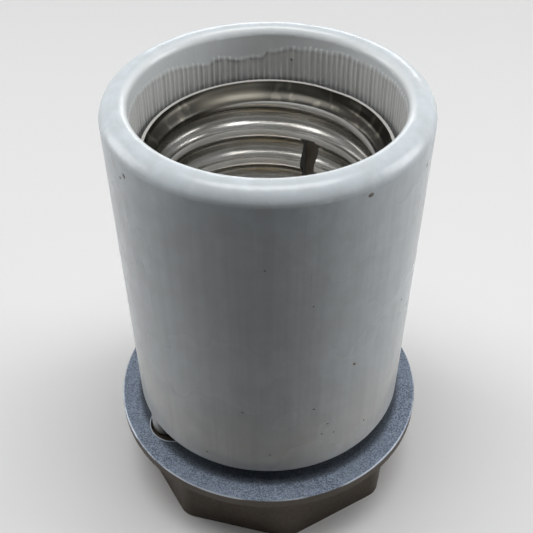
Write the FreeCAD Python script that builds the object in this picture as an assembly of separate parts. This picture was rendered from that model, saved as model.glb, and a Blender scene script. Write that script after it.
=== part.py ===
import FreeCAD, Part
import math
import os

# Porcelain E40 lamp holder on a cast metal base with an octagonal conduit hub.
# Millimetres, +Z up along the lamp axis. The origin is the centre of the face that the hub stands on.

V = FreeCAD.Vector
Z_AXIS = V(0, 0, 1)
ORIGIN = V(0, 0, 0)

# ---- driving sizes -------------------------------------------------------------------------
# cast base
HUB_ACROSS_FLATS = 50.0
HUB_SIDES = 8
HUB_TURN = 7.6               # degrees, how far the casting's front corner is turned from -Y
HUB_CORNER_ROUND = 4.0
HUB_WALL = 3.2
FLANGE_OVERHANG = 2.77       # beyond the hub's rounded corners
FLANGE_THICKNESS = 2.0
FLANGE_EDGE_BREAK = 0.25
FLANGE_FILLET = 1.5          # cast fillet between the flange and the hub
HUB_HEIGHT = 14.2            # from the standing face to the underside of the flange
DECK_THICKNESS = 4.0         # solid metal between the cored pocket and the seat of the porcelain
WEB_THICKNESS = 2.0

# conduit entry, G 3/4 pipe thread at its minor diameter
CONDUIT_BORE_RADIUS = 12.06
CONDUIT_BOSS_WALL = 2.9
CONDUIT_THREAD_LENGTH = 13.0
CONDUIT_STOP_RADIUS = 10.4
GRUB_RADIUS = 2.1
GRUB_LENGTH = 11.0
GRUB_SOCKET_ACROSS_FLATS = 2.5
GRUB_SOCKET_DEPTH = 2.6
GRUB_HEIGHT = 6.0
GRUB_RECESS = 0.6            # from the hub's flat to the screw's end
GRUB_BOSS_RADIUS = 4.4

# porcelain body
BODY_HEIGHT = 63.5           # skirt edge to rim
SKIRT_RADIUS = 25.5
RIM_RADIUS = 26.5
SKIRT_EDGE_ROUND = 1.1
RIM_OUTER_ROUND = 2.7
RIM_INNER_ROUND = 1.5
MOUTH_RADIUS = 22.0
SOCKET_FLOOR_RADIUS = 21.6
FOOT_RADIUS = 22.8
FOOT_DROP = 2.6              # the foot stands this far below the skirt edge
WIRING_RADIUS = 18.6
WIRING_HEIGHT = 9.8          # wiring space, from the foot to the underside of the bridge
BRIDGE_THICKNESS = 7.5
PEDESTAL_RADIUS = 10.4
PEDESTAL_HEIGHT = 2.5
NUT_COLUMN_RADIUS = 5.6

# anti-rotation lugs of the porcelain and their pockets in the flange
POCKET_RADIUS = 4.7
POCKET_INSET = 4.0           # from the skirt's outside to the pocket's centre
POCKET_DEPTH = 1.5
POCKET_AZIMUTH = -148.1
LUG_RADIUS = 3.0
LUG_BEARING = 57.5           # degrees at the pocket's centre, from straight outward round to the lug
LUG_LENGTH = 1.0             # how far the lug reaches below the flange face
LUG_CLEARANCE = 0.1          # between a lug and the end of the pocket that it bears on
LUG_ROOT = 2.0               # how far the lug runs up into the skirt

# E40 screw shell, drawn from sheet
SHEET = 0.5
THREAD_PITCH = 6.35
THREAD_ARC_RADIUS = 1.85
THREAD_MAJOR_RADIUS = 19.9
THREAD_DEPTH = 1.8
THREAD_CREST_HEIGHT = 63.4   # a crest stands at this height straight behind the axis
LIP_RADIUS = 20.4
LIP_HEIGHT = 72.8
LIP_FLARE_HEIGHT = 1.6
RUN_OUT_TOP = 0.7            # plain collar left under the lip
RUN_OUT_LENGTH = 2.6
THREAD_START = 5.0           # plain wall above the shell's floor
SHELL_FLOOR_HOLE = 11.2
SLOT_WIDTH = 3.1
SLOT_TOP = 62.6
SLOT_BOTTOM = 41.0
STATIONS_PER_PITCH = 8       # points of the thread's form that the skins pass through
STATIONS_PER_TURN = 16

# side contact strip behind the slot
STRIP_AZIMUTH = 66.0
STRIP_WIDTH = 2.6
STRIP_THICKNESS = 0.6
STRIP_GAP = 0.12
STRIP_TOP_BELOW_SLOT = 0.9
STRIP_EYE_RADIUS = 3.9

# screws through the shell floor
SHELL_SCREW_PLACE = 14.8
SHELL_SCREW_RADIUS = 2.0
SHELL_SCREW_HEAD_RADIUS = 3.1
SHELL_SCREW_HEAD_HEIGHT = 1.9
SHELL_SCREW_SLOT_TURN = 25.0
FIXING_SCREW_SHORT = 1.0     # from a fixing screw's tip to the face it would come out of

# sprung centre contact
CONTACT_RADIUS = 3.2
CONTACT_TIP_HEIGHT = 41.6
CONTACT_DOME = 1.3
CONTACT_COLLAR_RADIUS = 4.0
CONTACT_COLLAR_THICKNESS = 1.2
CONTACT_FIT = 0.05           # radial, contact in its strap
CONTACT_TRAVEL = 2.2
SPRING_POCKET_RADIUS = 4.4
SPRING_POCKET_FLOOR = 2.0    # porcelain left below the spring
SPRING_WIRE_RADIUS = 0.3
SPRING_MEAN_RADIUS = 3.3
SPRING_TURNS = 5.0

# strap that carries the centre contact
STRAP_THICKNESS = 0.8
STRAP_WIDTH = 9.0
STRAP_REACH = 6.0            # beyond the axis, on the side away from its screw
LIVE_TURN = 120.0            # degrees from the side strip to the live screw
LIVE_SCREW_PLACE = 7.3
LIVE_SCREW_RADIUS = 1.5
LIVE_SCREW_HEAD_RADIUS = 2.5
LIVE_SCREW_HEAD_HEIGHT = 1.6
LIVE_SCREW_SLOT_TURN = 60.0

# terminals under the bridge
TERMINAL_LENGTH = 11.0
TERMINAL_WIDTH = 7.0
TERMINAL_HEIGHT = 6.4
TERMINAL_END = 3.2           # from the block's end to its fixing screw
WIRE_HOLE_RADIUS = 1.8
CLAMP_SCREW_RADIUS = 1.75
CLAMP_SCREW_HEAD_RADIUS = 2.7
CLAMP_SCREW_HEAD_HEIGHT = 1.8
CLAMP_SCREW_GRIP = 2.2       # from its seat to its tip
CLAMP_SCREW_SLOT_TURN = 40.0
NUT_PLATE_LENGTH = 9.0
NUT_PLATE_THICKNESS = 3.0

# screws that hold the porcelain to the base
BASE_SCREW_PLACE = 18.5
BASE_SCREW_RADIUS = 2.0
BASE_SCREW_LENGTH = 14.0
BASE_SCREW_HEAD_RADIUS = 3.3
BASE_SCREW_HEAD_HEIGHT = 2.4
BASE_SCREW_SLOT_TURN = 70.0
BASE_WASHER_RADIUS = 3.4
BASE_WASHER_THICKNESS = 0.9
BASE_NUT_ACROSS_FLATS = 7.0
BASE_NUT_THICKNESS = 3.2
BASE_NUT_LIFT = 4.0          # from the foot to the nut
NUT_CLEARANCE = 0.15

HOLE_CLEARANCE = 0.25        # radial, screws in plain holes
DRIVER_SLOT_WIDTH = 0.9
DRIVER_SLOT_DEPTH = 1.0
HEAD_EDGE_BREAK = 0.35
PAST = 1.0                   # how far a cutting tool runs past the face that it opens

# ---- heights that follow -------------------------------------------------------------------
CORNER_STRETCH = 1 / math.cos(math.pi / HUB_SIDES)
HUB_REACH = HUB_ACROSS_FLATS / 2 * CORNER_STRETCH - HUB_CORNER_ROUND * (CORNER_STRETCH - 1)
FLANGE_RADIUS = HUB_REACH + FLANGE_OVERHANG
FLANGE_TOP = HUB_HEIGHT + FLANGE_THICKNESS
DECK_UNDERSIDE = FLANGE_TOP - DECK_THICKNESS
SKIRT_EDGE = FLANGE_TOP + FOOT_DROP
RIM_HEIGHT = SKIRT_EDGE + BODY_HEIGHT
BRIDGE_UNDERSIDE = FLANGE_TOP + WIRING_HEIGHT
BRIDGE_TOP = BRIDGE_UNDERSIDE + BRIDGE_THICKNESS
PEDESTAL_TOP = BRIDGE_TOP + PEDESTAL_HEIGHT
SHELL_FLOOR_TOP = BRIDGE_TOP + SHEET
SPRING_SEAT = BRIDGE_UNDERSIDE + SPRING_POCKET_FLOOR
STRAP_TOP = PEDESTAL_TOP + STRAP_THICKNESS
COLLAR_UNDERSIDE = PEDESTAL_TOP - CONTACT_COLLAR_THICKNESS
STRIP_PLANE = THREAD_MAJOR_RADIUS + SHEET + STRIP_GAP
LIVE_AZIMUTH = STRIP_AZIMUTH + LIVE_TURN
TERMINAL_LOW = BRIDGE_UNDERSIDE - TERMINAL_HEIGHT
NUT_PLATE_LOW = BRIDGE_UNDERSIDE - NUT_PLATE_THICKNESS
SCREW_SPREAD = TERMINAL_LENGTH - 2 * TERMINAL_END

# directions round the casting, counted from its front corner
FRONT_CORNER = -90.0 + HUB_TURN
SIDE_STEP = 360.0 / HUB_SIDES
POCKET_PLACE_RADIUS = SKIRT_RADIUS - POCKET_INSET
POCKET_AZIMUTHS = [POCKET_AZIMUTH, POCKET_AZIMUTH + 180]
BASE_SCREW_AZIMUTHS = [FRONT_CORNER + SIDE_STEP, FRONT_CORNER + 5 * SIDE_STEP]
WEB_AZIMUTHS = [FRONT_CORNER - SIDE_STEP, FRONT_CORNER + 3 * SIDE_STEP]
GRUB_AZIMUTH = FRONT_CORNER + 3.5 * SIDE_STEP


# ---- helpers -------------------------------------------------------------------------------
def polar(radius, azimuth, z=0.0):
    """Point at a radius and an azimuth in degrees from +X."""
    a = math.radians(azimuth)
    return V(radius * math.cos(a), radius * math.sin(a), z)


def cylinder(radius, z_low, z_high, centre=ORIGIN):
    return Part.makeCylinder(radius, z_high - z_low, V(centre.x, centre.y, z_low), Z_AXIS)


def turned(shape, azimuth):
    """Copy of a shape built along +X, turned about the lamp axis."""
    copy = shape.copy()
    copy.rotate(ORIGIN, Z_AXIS, azimuth)
    return copy


def bar(x_low, x_high, width, z_low, z_high):
    """Box along +X, centred on the XZ plane."""
    return Part.makeBox(x_high - x_low, width, z_high - z_low, V(x_low, -width / 2, z_low))


def revolved(edges):
    return Part.Face(Part.Wire(edges)).revolve(ORIGIN, Z_AXIS, 360)


def line(a, b):
    return Part.LineSegment(a, b).toShape()


def corner_arc(start, centre, end):
    """Quarter-turn arc in the XZ plane from start to end about centre."""
    radius = start.distanceToPoint(centre)
    outward = (start - centre) + (end - centre)
    middle = centre + outward.normalize() * radius
    return Part.Arc(start, middle, end).toShape()


def regular_prism(sides, across_flats, z_low, z_high, corner_azimuth, corner_round=0.0):
    """Upright prism on a regular polygon with one corner at the given azimuth."""
    radius = across_flats / 2 / math.cos(math.pi / sides)
    step = 360.0 / sides
    points = [polar(radius, corner_azimuth + step * i, z_low) for i in range(sides + 1)]
    prism = Part.Face(Part.makePolygon(points)).extrude(V(0, 0, z_high - z_low))
    if corner_round > 0:
        uprights = [e for e in prism.Edges if abs(e.tangentAt(e.FirstParameter).z) > 0.99]
        prism = prism.makeFillet(corner_round, uprights)
    return prism


def at_height(edge, z):
    return all(abs(v.Z - z) < 1e-6 for v in edge.Vertexes)


def slotted_screw(radius, head_radius, head_height, seat, tip, centre, slot_azimuth):
    """Cheese-head screw standing on its seat, shank down to its tip."""
    rise = 1 if tip < seat else -1
    head_end = seat + rise * head_height
    shank = cylinder(radius, min(seat, tip), max(seat, tip), centre)
    head = cylinder(head_radius, min(seat, head_end), max(seat, head_end), centre)
    head = head.makeChamfer(HEAD_EDGE_BREAK, [e for e in head.Edges if at_height(e, head_end)])
    slot_floor = head_end - rise * DRIVER_SLOT_DEPTH
    cut = bar(-head_radius - PAST, head_radius + PAST, DRIVER_SLOT_WIDTH,
              min(head_end, slot_floor), max(head_end, slot_floor))
    cut.rotate(ORIGIN, Z_AXIS, slot_azimuth)
    cut.translate(V(centre.x, centre.y, 0))
    return head.cut(cut).fuse(shank).removeSplitter()


def save(shape, node):
    solid = shape.Solids[0] if len(shape.Solids) == 1 else shape
    if not solid.isValid():
        print("not valid:", node)
    solid.exportStep("parts/" + node + ".step")


# ---- cast base -----------------------------------------------------------------------------
def base_casting():
    hub = regular_prism(HUB_SIDES, HUB_ACROSS_FLATS, 0, HUB_HEIGHT, FRONT_CORNER, HUB_CORNER_ROUND)
    flange = cylinder(FLANGE_RADIUS, HUB_HEIGHT, FLANGE_TOP)
    flange = flange.makeChamfer(FLANGE_EDGE_BREAK, [e for e in flange.Edges if at_height(e, FLANGE_TOP)])
    casting = hub.fuse(flange).removeSplitter()
    root = [e for e in casting.Edges if at_height(e, HUB_HEIGHT) and e.BoundBox.DiagonalLength < FLANGE_RADIUS]
    casting = casting.makeFillet(min(FLANGE_FILLET, FLANGE_OVERHANG - FLANGE_EDGE_BREAK), root)

    core = regular_prism(HUB_SIDES, HUB_ACROSS_FLATS - 2 * HUB_WALL, 0, DECK_UNDERSIDE, FRONT_CORNER)
    core = core.cut(cylinder(CONDUIT_BORE_RADIUS + CONDUIT_BOSS_WALL, 0, DECK_UNDERSIDE))
    hub_inside = HUB_ACROSS_FLATS / 2 - HUB_WALL / 2
    for azimuth in WEB_AZIMUTHS:
        web = bar(CONDUIT_BORE_RADIUS + PAST, HUB_ACROSS_FLATS / 2, WEB_THICKNESS, 0, DECK_UNDERSIDE)
        core = core.cut(turned(web, azimuth))
    grub_boss = Part.makeCylinder(GRUB_BOSS_RADIUS, hub_inside - CONDUIT_BORE_RADIUS,
                                  V(CONDUIT_BORE_RADIUS, 0, GRUB_HEIGHT), V(1, 0, 0))
    grub_boss = grub_boss.fuse(bar(CONDUIT_BORE_RADIUS, hub_inside, 2 * GRUB_BOSS_RADIUS,
                                   GRUB_HEIGHT, DECK_UNDERSIDE))
    core = core.cut(turned(grub_boss, GRUB_AZIMUTH))

    casting = casting.cut(core)
    casting = casting.cut(cylinder(CONDUIT_BORE_RADIUS, -PAST, CONDUIT_THREAD_LENGTH))
    casting = casting.cut(cylinder(CONDUIT_STOP_RADIUS, CONDUIT_THREAD_LENGTH - PAST, FLANGE_TOP + PAST))
    for azimuth in BASE_SCREW_AZIMUTHS:
        place = polar(BASE_SCREW_PLACE, azimuth)
        casting = casting.cut(cylinder(BASE_SCREW_RADIUS + HOLE_CLEARANCE, 0, FLANGE_TOP + PAST, place))
    for azimuth in POCKET_AZIMUTHS:
        place = polar(POCKET_PLACE_RADIUS, azimuth)
        casting = casting.cut(cylinder(POCKET_RADIUS, FLANGE_TOP - POCKET_DEPTH, FLANGE_TOP + PAST, place))
    grub_hole = Part.makeCylinder(GRUB_RADIUS, FLANGE_RADIUS, V(0, 0, GRUB_HEIGHT), V(1, 0, 0))
    return casting.cut(turned(grub_hole, GRUB_AZIMUTH))


def conduit_grub_screw():
    outer_end = HUB_ACROSS_FLATS / 2 - GRUB_RECESS
    inner_end = outer_end - GRUB_LENGTH
    screw = Part.makeCylinder(GRUB_RADIUS, GRUB_LENGTH, V(inner_end, 0, 0), V(1, 0, 0))
    socket = regular_prism(6, GRUB_SOCKET_ACROSS_FLATS, 0, GRUB_SOCKET_DEPTH, 0)
    socket.rotate(ORIGIN, V(0, 1, 0), 90)
    socket.translate(V(outer_end - GRUB_SOCKET_DEPTH, 0, 0))
    screw = screw.cut(socket)
    screw.translate(V(0, 0, GRUB_HEIGHT))
    return turned(screw, GRUB_AZIMUTH)


# ---- porcelain -----------------------------------------------------------------------------
def porcelain_profile():
    """Half section of the cup: skirt, rim, lamp cavity, bridge and foot."""
    low = [V(FOOT_RADIUS, 0, FLANGE_TOP), V(FOOT_RADIUS, 0, SKIRT_EDGE)]
    edge_in = V(SKIRT_RADIUS - SKIRT_EDGE_ROUND, 0, SKIRT_EDGE)
    edge_out = V(SKIRT_RADIUS, 0, SKIRT_EDGE + SKIRT_EDGE_ROUND)
    edge_centre = V(edge_in.x, 0, edge_out.z)
    shoulder = V(RIM_RADIUS, 0, RIM_HEIGHT - RIM_OUTER_ROUND)
    crown_out = V(RIM_RADIUS - RIM_OUTER_ROUND, 0, RIM_HEIGHT)
    crown_in = V(MOUTH_RADIUS + RIM_INNER_ROUND, 0, RIM_HEIGHT)
    mouth = V(MOUTH_RADIUS, 0, RIM_HEIGHT - RIM_INNER_ROUND)
    floor_out = V(SOCKET_FLOOR_RADIUS, 0, BRIDGE_TOP)
    pedestal_foot = V(PEDESTAL_RADIUS, 0, BRIDGE_TOP)
    pedestal_edge = V(PEDESTAL_RADIUS, 0, PEDESTAL_TOP)
    pedestal_axis = V(0, 0, PEDESTAL_TOP)
    under_axis = V(0, 0, BRIDGE_UNDERSIDE)
    under_out = V(WIRING_RADIUS, 0, BRIDGE_UNDERSIDE)
    foot_in = V(WIRING_RADIUS, 0, FLANGE_TOP)
    return [
        line(low[0], low[1]),
        line(low[1], edge_in),
        corner_arc(edge_in, edge_centre, edge_out),
        line(edge_out, shoulder),
        corner_arc(shoulder, V(crown_out.x, 0, shoulder.z), crown_out),
        line(crown_out, crown_in),
        corner_arc(crown_in, V(crown_in.x, 0, mouth.z), mouth),
        line(mouth, floor_out),
        line(floor_out, pedestal_foot),
        line(pedestal_foot, pedestal_edge),
        line(pedestal_edge, pedestal_axis),
        line(pedestal_axis, under_axis),
        line(under_axis, under_out),
        line(under_out, foot_in),
        line(foot_in, low[0]),
    ]


def strip_foot_recess():
    """Space in the bridge for the strip's eye and for its arm out to the wall."""
    low = BRIDGE_TOP - STRIP_THICKNESS
    eye = cylinder(STRIP_EYE_RADIUS + HOLE_CLEARANCE, low, BRIDGE_TOP, V(SHELL_SCREW_PLACE, 0, 0))
    arm = bar(SHELL_SCREW_PLACE, STRIP_PLANE + STRIP_THICKNESS + STRIP_GAP,
              STRIP_WIDTH + 2 * HOLE_CLEARANCE, low, BRIDGE_TOP)
    return turned(eye.fuse(arm), STRIP_AZIMUTH)


def lug_place(pocket_azimuth):
    """The centre of the lug that bears on the wall of a pocket."""
    apart = POCKET_RADIUS - LUG_RADIUS - LUG_CLEARANCE
    return polar(POCKET_PLACE_RADIUS, pocket_azimuth) + polar(apart, pocket_azimuth - LUG_BEARING)


def porcelain_body():
    body = revolved(porcelain_profile())
    for azimuth in BASE_SCREW_AZIMUTHS:
        place = polar(BASE_SCREW_PLACE, azimuth)
        column = cylinder(NUT_COLUMN_RADIUS, FLANGE_TOP, BRIDGE_UNDERSIDE + PAST, place)
        body = body.fuse(column.common(cylinder(FOOT_RADIUS - PAST, FLANGE_TOP, BRIDGE_TOP)))
    for azimuth in POCKET_AZIMUTHS:
        lug = cylinder(LUG_RADIUS, FLANGE_TOP - LUG_LENGTH, SKIRT_EDGE + LUG_ROOT, lug_place(azimuth))
        body = body.fuse(lug)

    body = body.cut(cylinder(SPRING_POCKET_RADIUS, SPRING_SEAT, PEDESTAL_TOP + PAST))
    for azimuth in (STRIP_AZIMUTH, STRIP_AZIMUTH + 180):
        place = polar(SHELL_SCREW_PLACE, azimuth)
        hole = cylinder(SHELL_SCREW_RADIUS + HOLE_CLEARANCE, BRIDGE_UNDERSIDE - PAST, BRIDGE_TOP + PAST, place)
        body = body.cut(hole)
    place = polar(LIVE_SCREW_PLACE, LIVE_AZIMUTH)
    hole = cylinder(LIVE_SCREW_RADIUS + HOLE_CLEARANCE, BRIDGE_UNDERSIDE - PAST, PEDESTAL_TOP + PAST, place)
    body = body.cut(hole).cut(strip_foot_recess())

    nut_low = FLANGE_TOP + BASE_NUT_LIFT
    nut_half = BASE_NUT_ACROSS_FLATS / 2 + NUT_CLEARANCE
    for azimuth in BASE_SCREW_AZIMUTHS:
        place = polar(BASE_SCREW_PLACE, azimuth)
        hole = cylinder(BASE_SCREW_RADIUS + HOLE_CLEARANCE, FLANGE_TOP - PAST, BRIDGE_UNDERSIDE, place)
        nut_slot = bar(BASE_SCREW_PLACE - NUT_COLUMN_RADIUS - PAST, BASE_SCREW_PLACE + nut_half, 2 * nut_half,
                       nut_low, nut_low + BASE_NUT_THICKNESS + NUT_CLEARANCE)
        body = body.cut(hole).cut(turned(nut_slot, azimuth))
    return body


# ---- screw shell ---------------------------------------------------------------------------
def thread_offset(z, azimuth, outside):
    """How far the rolled wall stands in from its outermost line at a height and an azimuth."""
    helix = THREAD_CREST_HEIGHT + THREAD_PITCH * (azimuth - 90.0) / 360.0
    along = (z - helix) / THREAD_PITCH
    from_crest = abs(along - round(along)) * THREAD_PITCH
    crest_arc = THREAD_ARC_RADIUS - (SHEET if outside else 0)
    root_arc = THREAD_ARC_RADIUS + (SHEET if outside else 0)
    flank = THREAD_PITCH / 4 * crest_arc / THREAD_ARC_RADIUS
    if from_crest <= flank:
        rise = THREAD_ARC_RADIUS - math.sqrt(crest_arc ** 2 - from_crest ** 2)
        return THREAD_DEPTH - rise + (SHEET if outside else 0)
    from_root = THREAD_PITCH / 2 - from_crest
    return root_arc - math.sqrt(root_arc ** 2 - from_root ** 2)


def smooth_step(x):
    x = min(max(x, 0.0), 1.0)
    return x * x * (3 - 2 * x)


def shell_radius(z, azimuth, outside):
    """Radius of the shell's inner or outer skin."""
    wall = THREAD_MAJOR_RADIUS + (SHEET if outside else 0)
    run_out = smooth_step((LIP_HEIGHT - RUN_OUT_TOP - z) / RUN_OUT_LENGTH)
    run_in = smooth_step((z - SHELL_FLOOR_TOP - THREAD_START) / RUN_OUT_LENGTH)
    flare = (LIP_RADIUS - THREAD_MAJOR_RADIUS) * smooth_step(1 - (LIP_HEIGHT - z) / LIP_FLARE_HEIGHT)
    return wall + flare - thread_offset(z, azimuth, outside) * run_out * run_in


def shell_skin(z_low, outside):
    """One skin as a smooth surface through points of the thread's form, as two half-turn faces."""
    rows = int(round((LIP_HEIGHT - z_low) / THREAD_PITCH * STATIONS_PER_PITCH))
    heights = [z_low + (LIP_HEIGHT - z_low) * i / rows for i in range(rows + 1)]
    azimuths = [360.0 * j / STATIONS_PER_TURN for j in range(STATIONS_PER_TURN + 1)]
    surface = Part.BSplineSurface()
    surface.interpolate([[polar(shell_radius(z, a, outside), a, z) for z in heights] for a in azimuths])
    u_low, u_high, v_low, v_high = surface.bounds()
    u_middle = (u_low + u_high) / 2
    halves = [surface, surface.copy()]
    halves[0].segment(u_low, u_middle, v_low, v_high)
    halves[1].segment(u_middle, u_high, v_low, v_high)
    return [half.toShape() for half in halves]


def edge_at(face, z):
    return [e for e in face.Edges if at_height(e, z)][0]


def screw_shell():
    inner = shell_skin(SHELL_FLOOR_TOP, False)
    outer = shell_skin(BRIDGE_TOP, True)
    faces = inner + outer
    for inside, outside in zip(inner, outer):
        faces.append(Part.makeRuledSurface(edge_at(inside, LIP_HEIGHT), edge_at(outside, LIP_HEIGHT)))
    faces.append(Part.Face(Part.Wire([edge_at(face, SHELL_FLOOR_TOP) for face in inner])))
    faces.append(Part.Face(Part.Wire([edge_at(face, BRIDGE_TOP) for face in outer])))
    skin = Part.makeShell(faces)
    skin.sewShape()
    shell = Part.Solid(skin)

    shell = shell.cut(cylinder(SHELL_FLOOR_HOLE, BRIDGE_TOP - PAST, SHELL_FLOOR_TOP + PAST))
    for azimuth in (STRIP_AZIMUTH, STRIP_AZIMUTH + 180):
        place = polar(SHELL_SCREW_PLACE, azimuth)
        hole = cylinder(SHELL_SCREW_RADIUS + HOLE_CLEARANCE, BRIDGE_TOP - PAST, SHELL_FLOOR_TOP + PAST, place)
        shell = shell.cut(hole)
    slot = bar(THREAD_MAJOR_RADIUS - THREAD_DEPTH - PAST, LIP_RADIUS + SHEET + PAST, SLOT_WIDTH,
               SLOT_BOTTOM, SLOT_TOP)
    return shell.cut(turned(slot, STRIP_AZIMUTH))


def side_contact_strip():
    low = BRIDGE_TOP - STRIP_THICKNESS
    outer = STRIP_PLANE + STRIP_THICKNESS
    eye = cylinder(STRIP_EYE_RADIUS, low, BRIDGE_TOP, V(SHELL_SCREW_PLACE, 0, 0))
    arm = bar(SHELL_SCREW_PLACE, outer, STRIP_WIDTH, low, BRIDGE_TOP)
    blade = bar(STRIP_PLANE, outer, STRIP_WIDTH, low, SLOT_TOP - STRIP_TOP_BELOW_SLOT)
    hole = cylinder(SHELL_SCREW_RADIUS + HOLE_CLEARANCE, low - PAST, BRIDGE_TOP + PAST, V(SHELL_SCREW_PLACE, 0, 0))
    strip = eye.fuse(arm).fuse(blade).cut(hole).removeSplitter()
    return turned(strip, STRIP_AZIMUTH)


# ---- centre contact ------------------------------------------------------------------------
def live_contact_strap():
    strap = bar(-STRAP_REACH, LIVE_SCREW_PLACE, STRAP_WIDTH, PEDESTAL_TOP, STRAP_TOP)
    strap = strap.fuse(cylinder(LIVE_SCREW_HEAD_RADIUS, PEDESTAL_TOP, STRAP_TOP, V(LIVE_SCREW_PLACE, 0, 0)))
    strap = strap.common(cylinder(PEDESTAL_RADIUS, PEDESTAL_TOP, STRAP_TOP))
    strap = strap.cut(cylinder(CONTACT_RADIUS + CONTACT_FIT, PEDESTAL_TOP - PAST, STRAP_TOP + PAST))
    hole = cylinder(LIVE_SCREW_RADIUS + HOLE_CLEARANCE, PEDESTAL_TOP - PAST, STRAP_TOP + PAST,
                    V(LIVE_SCREW_PLACE, 0, 0))
    return turned(strap.cut(hole).removeSplitter(), LIVE_AZIMUTH)


def centre_contact():
    """Plunger with a domed tip and a collar that stops under the strap."""
    shoulder = CONTACT_TIP_HEIGHT - CONTACT_DOME
    dome_radius = (CONTACT_RADIUS ** 2 + CONTACT_DOME ** 2) / (2 * CONTACT_DOME)
    half_angle = math.asin(CONTACT_RADIUS / dome_radius) / 2
    dome_centre = CONTACT_TIP_HEIGHT - dome_radius
    dome_middle = V(dome_radius * math.sin(half_angle), 0, dome_centre + dome_radius * math.cos(half_angle))
    rim = V(CONTACT_RADIUS, 0, shoulder)
    tip = V(0, 0, CONTACT_TIP_HEIGHT)
    return revolved([
        line(V(0, 0, COLLAR_UNDERSIDE), V(CONTACT_COLLAR_RADIUS, 0, COLLAR_UNDERSIDE)),
        line(V(CONTACT_COLLAR_RADIUS, 0, COLLAR_UNDERSIDE), V(CONTACT_COLLAR_RADIUS, 0, PEDESTAL_TOP)),
        line(V(CONTACT_COLLAR_RADIUS, 0, PEDESTAL_TOP), V(CONTACT_RADIUS, 0, PEDESTAL_TOP)),
        line(V(CONTACT_RADIUS, 0, PEDESTAL_TOP), rim),
        Part.Arc(rim, dome_middle, tip).toShape(),
        line(tip, V(0, 0, COLLAR_UNDERSIDE)),
    ])


def centre_contact_spring():
    """Open coil between the porcelain and the contact's collar."""
    low = SPRING_SEAT + SPRING_WIRE_RADIUS
    rise = COLLAR_UNDERSIDE - SPRING_WIRE_RADIUS - low
    helix = Part.makeHelix(rise / SPRING_TURNS, rise, SPRING_MEAN_RADIUS)
    wire_circle = Part.Wire(Part.makeCircle(SPRING_WIRE_RADIUS, V(SPRING_MEAN_RADIUS, 0, 0), V(0, 1, 0)))
    coil = Part.Wire(helix).makePipeShell([wire_circle], True, True)
    coil.translate(V(0, 0, low))
    return coil


# ---- terminals -----------------------------------------------------------------------------
def terminal_block(fixing_place, fixing_radius, inward):
    """Brass pillar terminal under the bridge, fixing screw at one end and clamp screw at the other."""
    middle = TERMINAL_LOW + TERMINAL_HEIGHT / 2
    clamp_place = fixing_place - inward * SCREW_SPREAD
    x_low = min(fixing_place, clamp_place) - TERMINAL_END
    block = bar(x_low, x_low + TERMINAL_LENGTH, TERMINAL_WIDTH, TERMINAL_LOW, BRIDGE_UNDERSIDE)
    block = block.cut(cylinder(fixing_radius, TERMINAL_LOW - PAST, BRIDGE_UNDERSIDE + PAST, V(fixing_place, 0, 0)))
    block = block.cut(cylinder(CLAMP_SCREW_RADIUS, TERMINAL_LOW - PAST, middle, V(clamp_place, 0, 0)))
    wire_hole = Part.makeCylinder(WIRE_HOLE_RADIUS, TERMINAL_WIDTH + 2 * PAST,
                                  V(clamp_place, -TERMINAL_WIDTH / 2 - PAST, middle), V(0, 1, 0))
    return block.cut(wire_hole)


def terminal_screw(place, azimuth):
    return slotted_screw(CLAMP_SCREW_RADIUS, CLAMP_SCREW_HEAD_RADIUS, CLAMP_SCREW_HEAD_HEIGHT, TERMINAL_LOW,
                         TERMINAL_LOW + CLAMP_SCREW_GRIP, polar(place, azimuth), azimuth + CLAMP_SCREW_SLOT_TURN)


def shell_nut_plate():
    """Tapped plate under the bridge for the shell screw that has no terminal."""
    outer = SHELL_SCREW_PLACE + TERMINAL_END
    plate = bar(outer - NUT_PLATE_LENGTH, outer, TERMINAL_WIDTH, NUT_PLATE_LOW, BRIDGE_UNDERSIDE)
    hole = cylinder(SHELL_SCREW_RADIUS, NUT_PLATE_LOW - PAST, BRIDGE_UNDERSIDE + PAST, V(SHELL_SCREW_PLACE, 0, 0))
    return plate.cut(hole)


def shell_screw(azimuth, tip):
    return slotted_screw(SHELL_SCREW_RADIUS, SHELL_SCREW_HEAD_RADIUS, SHELL_SCREW_HEAD_HEIGHT, SHELL_FLOOR_TOP,
                         tip, polar(SHELL_SCREW_PLACE, azimuth), azimuth + SHELL_SCREW_SLOT_TURN)


def live_fixing_screw():
    return slotted_screw(LIVE_SCREW_RADIUS, LIVE_SCREW_HEAD_RADIUS, LIVE_SCREW_HEAD_HEIGHT, STRAP_TOP,
                         TERMINAL_LOW + FIXING_SCREW_SHORT, polar(LIVE_SCREW_PLACE, LIVE_AZIMUTH),
                         LIVE_AZIMUTH + LIVE_SCREW_SLOT_TURN)


# ---- fasteners between the porcelain and the casting ---------------------------------------
def base_screw(azimuth):
    seat = DECK_UNDERSIDE - BASE_WASHER_THICKNESS
    return slotted_screw(BASE_SCREW_RADIUS, BASE_SCREW_HEAD_RADIUS, BASE_SCREW_HEAD_HEIGHT, seat,
                         seat + BASE_SCREW_LENGTH, polar(BASE_SCREW_PLACE, azimuth), azimuth + BASE_SCREW_SLOT_TURN)


def base_nut(azimuth):
    low = FLANGE_TOP + BASE_NUT_LIFT
    half = BASE_NUT_ACROSS_FLATS / 2
    high = low + BASE_NUT_THICKNESS
    nut = bar(BASE_SCREW_PLACE - half, BASE_SCREW_PLACE + half, BASE_NUT_ACROSS_FLATS, low, high)
    nut = nut.cut(cylinder(BASE_SCREW_RADIUS, low - PAST, high + PAST, V(BASE_SCREW_PLACE, 0, 0)))
    return turned(nut, azimuth)


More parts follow.
